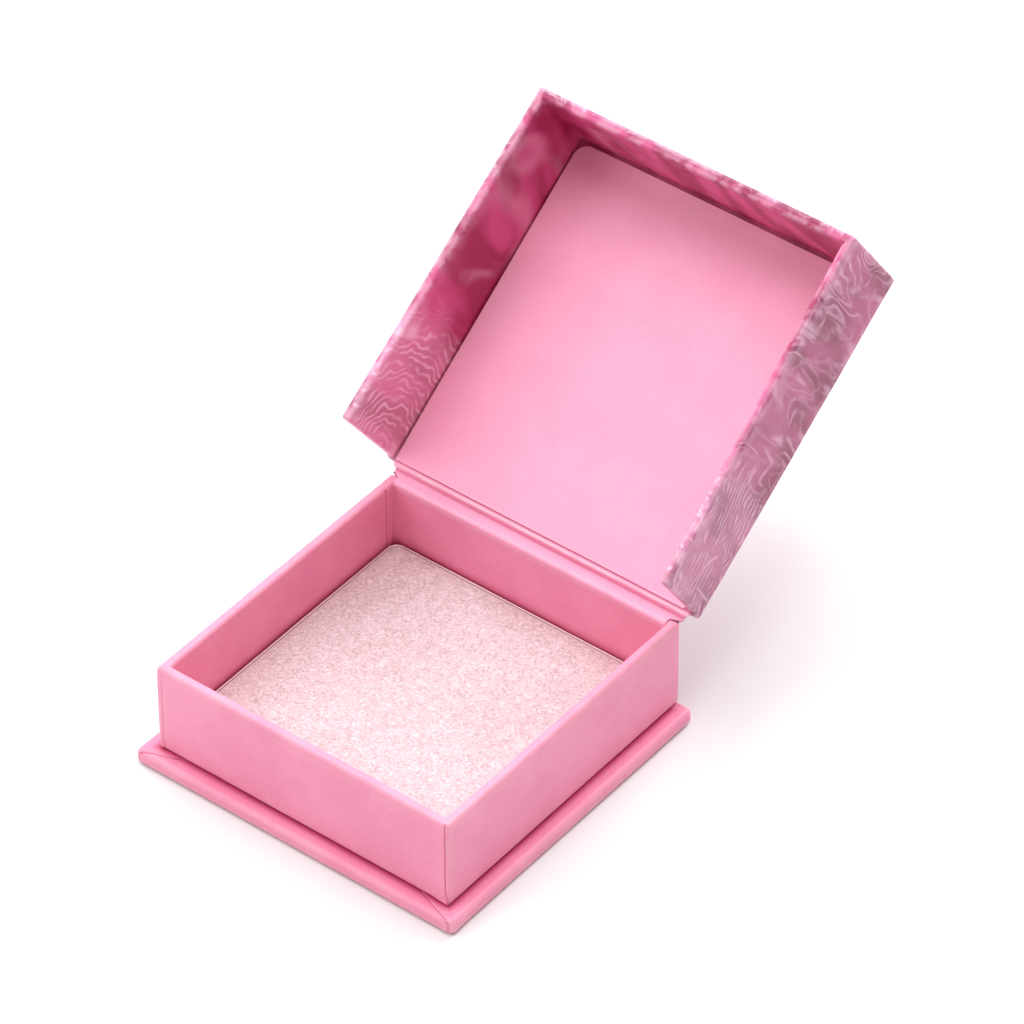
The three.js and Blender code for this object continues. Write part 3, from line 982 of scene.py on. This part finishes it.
def make_rear_cover():
    """The patterned paper down the tray's rear wall and across the gap to the lid's rear edge."""
    low, high = node_box("rear_cover_paper")
    panel = lid_box("lid_wrap")[1].y
    attach = LID_TO_WORLD @ Vector((0, panel - 0.1, 0.35))
    face = high.y
    path = smooth_path(
        [
            (face, low.z),
            (face, low.z + 3),
            (face, low.z + 8),
            (face, low.z + 13),
            (face, high.z - 1.2),
            (face + 0.03, high.z - 0.4),
            (face + 0.25, high.z + 0.1),
            (face + 0.65, high.z + 0.35),
            (face + 1.05, high.z + 0.7),
            (attach.y, attach.z),
        ]
    )
    path.reverse()

    def reach(share, side):
        wider = 0.15 if side == "left" else 0.6
        return high.x + wider * (1 - smooth_step(0.16, 0.24, share))

    def wave(x, share):
        return 0.04 * noise.noise(Vector((x / 9.0, share * 5.0, 6.0))) * smooth_step(0.02, 0.1, share)

    piece = ribbon("rear_cover_patterned", path, PAPER, reach, 64, wave)
    for name in ("margin", "ripple", "painted_shade"):
        store(piece, name, lambda point: 0.0)
    store_print(piece)
    finish_mesh(piece, PATTERN, sharp=60)
    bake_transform(piece)
    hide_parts("rear_cover_paper")


# ---- Lid --------------------------------------------------------------------------------------------


def sprung(point, wall_top, rim, front_inner):
    """Where a point of the lid's walls is once the free rear ends have sprung outwards."""
    if point.z >= wall_top:
        return point
    towards_rear = max(0.0, 1 - point.y / front_inner)
    towards_rim = (point.z - wall_top) / (rim - wall_top)
    reach = -SPRING["left"] if point.x < 0 else SPRING["right"]
    return Vector((point.x + reach * towards_rear * towards_rim, point.y, point.z))


def cuts(*stops, spacing=4.0):
    """Evenly spaced numbers from the first stop to the last, passing through every stop."""
    numbers = [stops[0]]
    for first, last in zip(stops, stops[1:]):
        count = max(1, round(abs(last - first) / spacing))
        numbers += [first + (last - first) * (k + 1) / count for k in range(count)]
    return numbers


def skin_of_cells(name, xs, ys, zs, filled):
    """The outer faces of a solid made of the box cells between cuts, where filled(middle) is true."""
    sizes = (len(xs) - 1, len(ys) - 1, len(zs) - 1)

    def full(i, j, k):
        if not all(0 <= n < size for n, size in zip((i, j, k), sizes)):
            return False
        return filled((xs[i] + xs[i + 1]) / 2, (ys[j] + ys[j + 1]) / 2, (zs[k] + zs[k + 1]) / 2)

    places = {}
    points = []
    faces = []

    def corner(i, j, k):
        if (i, j, k) not in places:
            places[i, j, k] = len(points)
            points.append((xs[i], ys[j], zs[k]))
        return places[i, j, k]

    sides = (
        ((1, 0, 0), ((1, 0, 0), (1, 1, 0), (1, 1, 1), (1, 0, 1))),
        ((-1, 0, 0), ((0, 0, 0), (0, 0, 1), (0, 1, 1), (0, 1, 0))),
        ((0, 1, 0), ((0, 1, 0), (0, 1, 1), (1, 1, 1), (1, 1, 0))),
        ((0, -1, 0), ((0, 0, 0), (1, 0, 0), (1, 0, 1), (0, 0, 1))),
        ((0, 0, 1), ((0, 0, 1), (1, 0, 1), (1, 1, 1), (0, 1, 1))),
        ((0, 0, -1), ((0, 0, 0), (0, 1, 0), (1, 1, 0), (1, 0, 0))),
    )
    for i in range(sizes[0]):
        for j in range(sizes[1]):
            for k in range(sizes[2]):
                if not full(i, j, k):
                    continue
                for (di, dj, dk), corners in sides:
                    if not full(i + di, j + dj, k + dk):
                        faces.append(tuple(corner(i + a, j + b, k + c) for a, b, c in corners))
    return build(name, points, faces)


def bevel_edges(piece, width, radius_of):
    """Rounds the sharp edges. radius_of(middle, convex) gives each one's radius in millimetres."""
    shape = bmesh.new()
    shape.from_mesh(piece.data)
    weights = shape.edges.layers.float.new("bevel_weight_edge")
    for edge in shape.edges:
        angle = edge.calc_face_angle_signed(0.0)
        if abs(angle) > math.radians(45):
            middle = (edge.verts[0].co + edge.verts[1].co) / 2
            edge[weights] = radius_of(middle, angle > 0) / width
    shape.to_mesh(piece.data)
    shape.free()
    modifier = piece.modifiers.new("rounding", "BEVEL")
    modifier.limit_method = "WEIGHT"
    modifier.width = width
    modifier.segments = 6
    modifier.use_clamp_overlap = False
    bpy.context.view_layer.update()
    evaluated = piece.evaluated_get(bpy.context.evaluated_depsgraph_get())
    rounded = bpy.data.meshes.new_from_object(evaluated)
    piece.modifiers.clear()
    piece.data = rounded


def round_rear_corners(piece, side, rear):
    """Rounds the lid's two rear corners, seen from above."""
    radius = 0.8
    for vertex in piece.data.vertices:
        place = vertex.co
        over_x = (abs(place.x) - (side - radius)) / radius
        over_y = (place.y - (rear - radius)) / radius
        if over_x > 0 and over_y > 0:
            disc_x, disc_y = on_quarter_disc(over_x, over_y)
            place.x = math.copysign(side - radius + disc_x * radius, place.x)
            place.y = rear - radius + disc_y * radius


def make_lid_wrap():
    """The lid's patterned paper, modelled shut in the lid's own frame and then turned open."""
    low, high = lid_box("lid_wrap")
    wall_top = lid_box("lid_liner")[1].z
    outer = lid_box("lid_top_board")[1].x + PAPER + 0.05
    inner = outer - WALL
    front_inner = low.y + WALL
    wall_end = lid_box("lid_wall_left")[1].y + PAPER + 0.2
    rim = low.z

    def filled(x, y, z):
        in_panel = z > wall_top
        in_wall = y < wall_end and (abs(x) > inner or y < front_inner)
        return in_panel or in_wall

    piece = skin_of_cells(
        "lid_wrap_patterned",
        cuts(-outer, -inner, -inner + 0.9, inner - 0.9, inner, outer),
        cuts(low.y, front_inner, front_inner + 0.9, wall_end, high.y),
        cuts(rim, wall_top - 0.75, wall_top - 0.3, wall_top, high.z),
        filled,
    )

    def radius_of(middle, convex):
        if middle.z < rim + 0.01:
            return 0.7
        if middle.z > high.z - 0.01:
            return 0.45
        return 0.5 if convex else 0.15

    bevel_edges(piece, 0.7, radius_of)
    spread = hand_made(15.0, 0.09, 4)
    fine = hand_made(5.0, 0.025, 5)
    displace(piece, lambda p: (spread(p) + fine(p)) * smooth_step(rim, rim + 1.5, p.z))

    def inwards(point):
        """0 on the walls' outer faces and 1 on their inner faces."""
        return smooth_step(0.35, 0.6, min(outer - abs(point.x), point.y - low.y) / WALL)

    def at_corner_hole(point):
        """1 in the small hole between the papers at the near end of the right wall's lip."""
        away = (point - Vector((inner + 0.35, front_inner - 0.35, rim + 0.25))).length
        return 1 - smooth_step(0.5, 1.1, away)

    # Painted shade along the walls' inner faces next to the liner, and in the small hole at the right wall's
    # lip.
    def painted_shade(point):
        if point.z > wall_top + 0.3:
            return 0.0
        at_liner = inwards(point) * smooth_step(wall_top - 0.75, wall_top - 0.25, point.z)
        return max(at_liner, at_corner_hole(point))

    store(piece, "margin", lambda p: inwards(p) * (1 - smooth_step(wall_top, wall_top + 0.6, p.z)))
    store(piece, "ripple", lambda p: smooth_step(-24.0, -21.0, p.y + 1.5 * math.sin(p.z / 2.2)))
    store(piece, "painted_shade", painted_shade)
    store_print(piece)
    for vertex in piece.data.vertices:
        vertex.co.z += 0.1 * at_corner_hole(vertex.co)
    round_rear_corners(piece, outer, high.y)
    for vertex in piece.data.vertices:
        vertex.co = sprung(vertex.co, wall_top, rim, front_inner)
    finish_mesh(piece, PATTERN, LID_TO_WORLD)
    stand_for(piece, "lid", "lid_wrap")


def make_liner():
    """The thin pink card inside the lid, with round front corners."""
    low, high = lid_box("lid_liner")
    round_front, square_rear = 2.5, 0.4
    corners = [round_front, square_rear, square_rear, round_front]
    edge = 0.13
    inner_rings = [(d, 0) for d in (0.6, 2, 5, 9, 13, 17, 21, 25, 29)]
    under = [(d, low.z) for d, _ in reversed(inner_rings)]
    over = [(d, high.z) for d, _ in inner_rings]
    lower_edge = arc(edge, low.z + edge, edge, 270, 180, 4)
    upper_edge = arc(edge, high.z - edge, edge, 180, 90, 2)
    rings = under + lower_edge + upper_edge + over
    piece = stack("lid_liner_card", low, high, corners, rings, [even_columns(28)] * 4)
    displace(piece, hand_made(16.0, 0.06, 6))
    finish_mesh(piece, LINER, LID_TO_WORLD)
    stand_for(piece, "lid", "lid_liner")


# ---- Camera, floor and light ------------------------------------------------------------------------

CAMERA_AZIMUTH = 38.28
CAMERA_ELEVATION = 41.42
CAMERA_ROLL = -0.2
CAMERA_DISTANCE = 1161.2
CAMERA_TARGET = Vector((-9.26, 36.87, 20.0))
LENS = 239.4


def make_camera():
    """A long lens, from the front right and above."""
    camera = bpy.data.objects.new("camera", bpy.data.cameras.new("camera"))
    bpy.context.scene.collection.objects.link(camera)
    azimuth = math.radians(CAMERA_AZIMUTH)
    elevation = math.radians(CAMERA_ELEVATION)
    back = Vector(
        (
            math.sin(azimuth) * math.cos(elevation),
            -math.cos(azimuth) * math.cos(elevation),
            math.sin(elevation),
        )
    )
    camera.location = (CAMERA_TARGET + back * CAMERA_DISTANCE) * MM
    facing = (-back).to_track_quat("-Z", "Y").to_matrix().to_4x4()
    turn = facing @ Matrix.Rotation(math.radians(CAMERA_ROLL), 4, "Z")
    camera.rotation_euler = turn.to_euler()
    camera.data.lens = LENS
    camera.data.sensor_width = 36.0
    camera.data.clip_start = 0.05
    camera.data.clip_end = 20.0
    bpy.context.scene.camera = camera


def make_floor():
    """A wide, pale, matt floor."""
    half = 3.0
    points = [(-half, -half, 0.0), (half, -half, 0.0), (half, half, 0.0), (-half, half, 0.0)]
    floor = build("floor", points, [(0, 1, 2, 3)])
    look = Look("floor_paper")
    look.set(Base_Color=look.mix(look.noise(60.0, 2.0), (0.77, 0.77, 0.77), (0.79, 0.79, 0.79)))
    look.set(Roughness=0.9, Specular_IOR_Level=0.1)
    floor.data.materials.append(look.material)


def make_area_light(name, place, aim, size, power):
    light = bpy.data.objects.new(name, bpy.data.lights.new(name, "AREA"))
    bpy.context.scene.collection.objects.link(light)
    light.data.shape = "DISK"
    light.data.size = size
    light.data.energy = power
    light.location = place
    light.rotation_euler = (Vector(aim) - Vector(place)).to_track_quat("-Z", "Y").to_euler()


def make_lights():
    """Soft studio light: a bright surround and large round lamps, strongest from behind."""
    world = bpy.data.worlds.new("studio")
    world.use_nodes = True
    background = world.node_tree.nodes["Background"]
    background.inputs["Color"].default_value = (1.0, 1.0, 1.0, 1.0)
    background.inputs["Strength"].default_value = 0.54
    bpy.context.scene.world = world
    middle = (0.0, 0.02, 0.02)
    make_area_light("back", (0.05, 0.80, 0.60), middle, 0.5, 6.7)
    make_area_light("top", (0.0, 0.0, 0.95), middle, 0.6, 4.2)
    make_area_light("left", (-0.75, 0.0, 0.60), middle, 0.5, 2.4)
    make_area_light("front_left", (-0.50, -0.60, 0.60), middle, 0.5, 2.2)
    make_area_light("back_left", (-0.35, 0.30, 0.75), middle, 0.5, 1.8)
    bpy.context.scene.view_settings.view_transform = "Standard"


noise.seed_set(GRAIN_SEED)
make_camera()
make_base()
make_tray()
make_pan()
make_powder()
make_hinge_strip()
make_rear_cover()
make_lid_wrap()
make_liner()
dress_hidden_nodes()
make_floor()
make_lights()
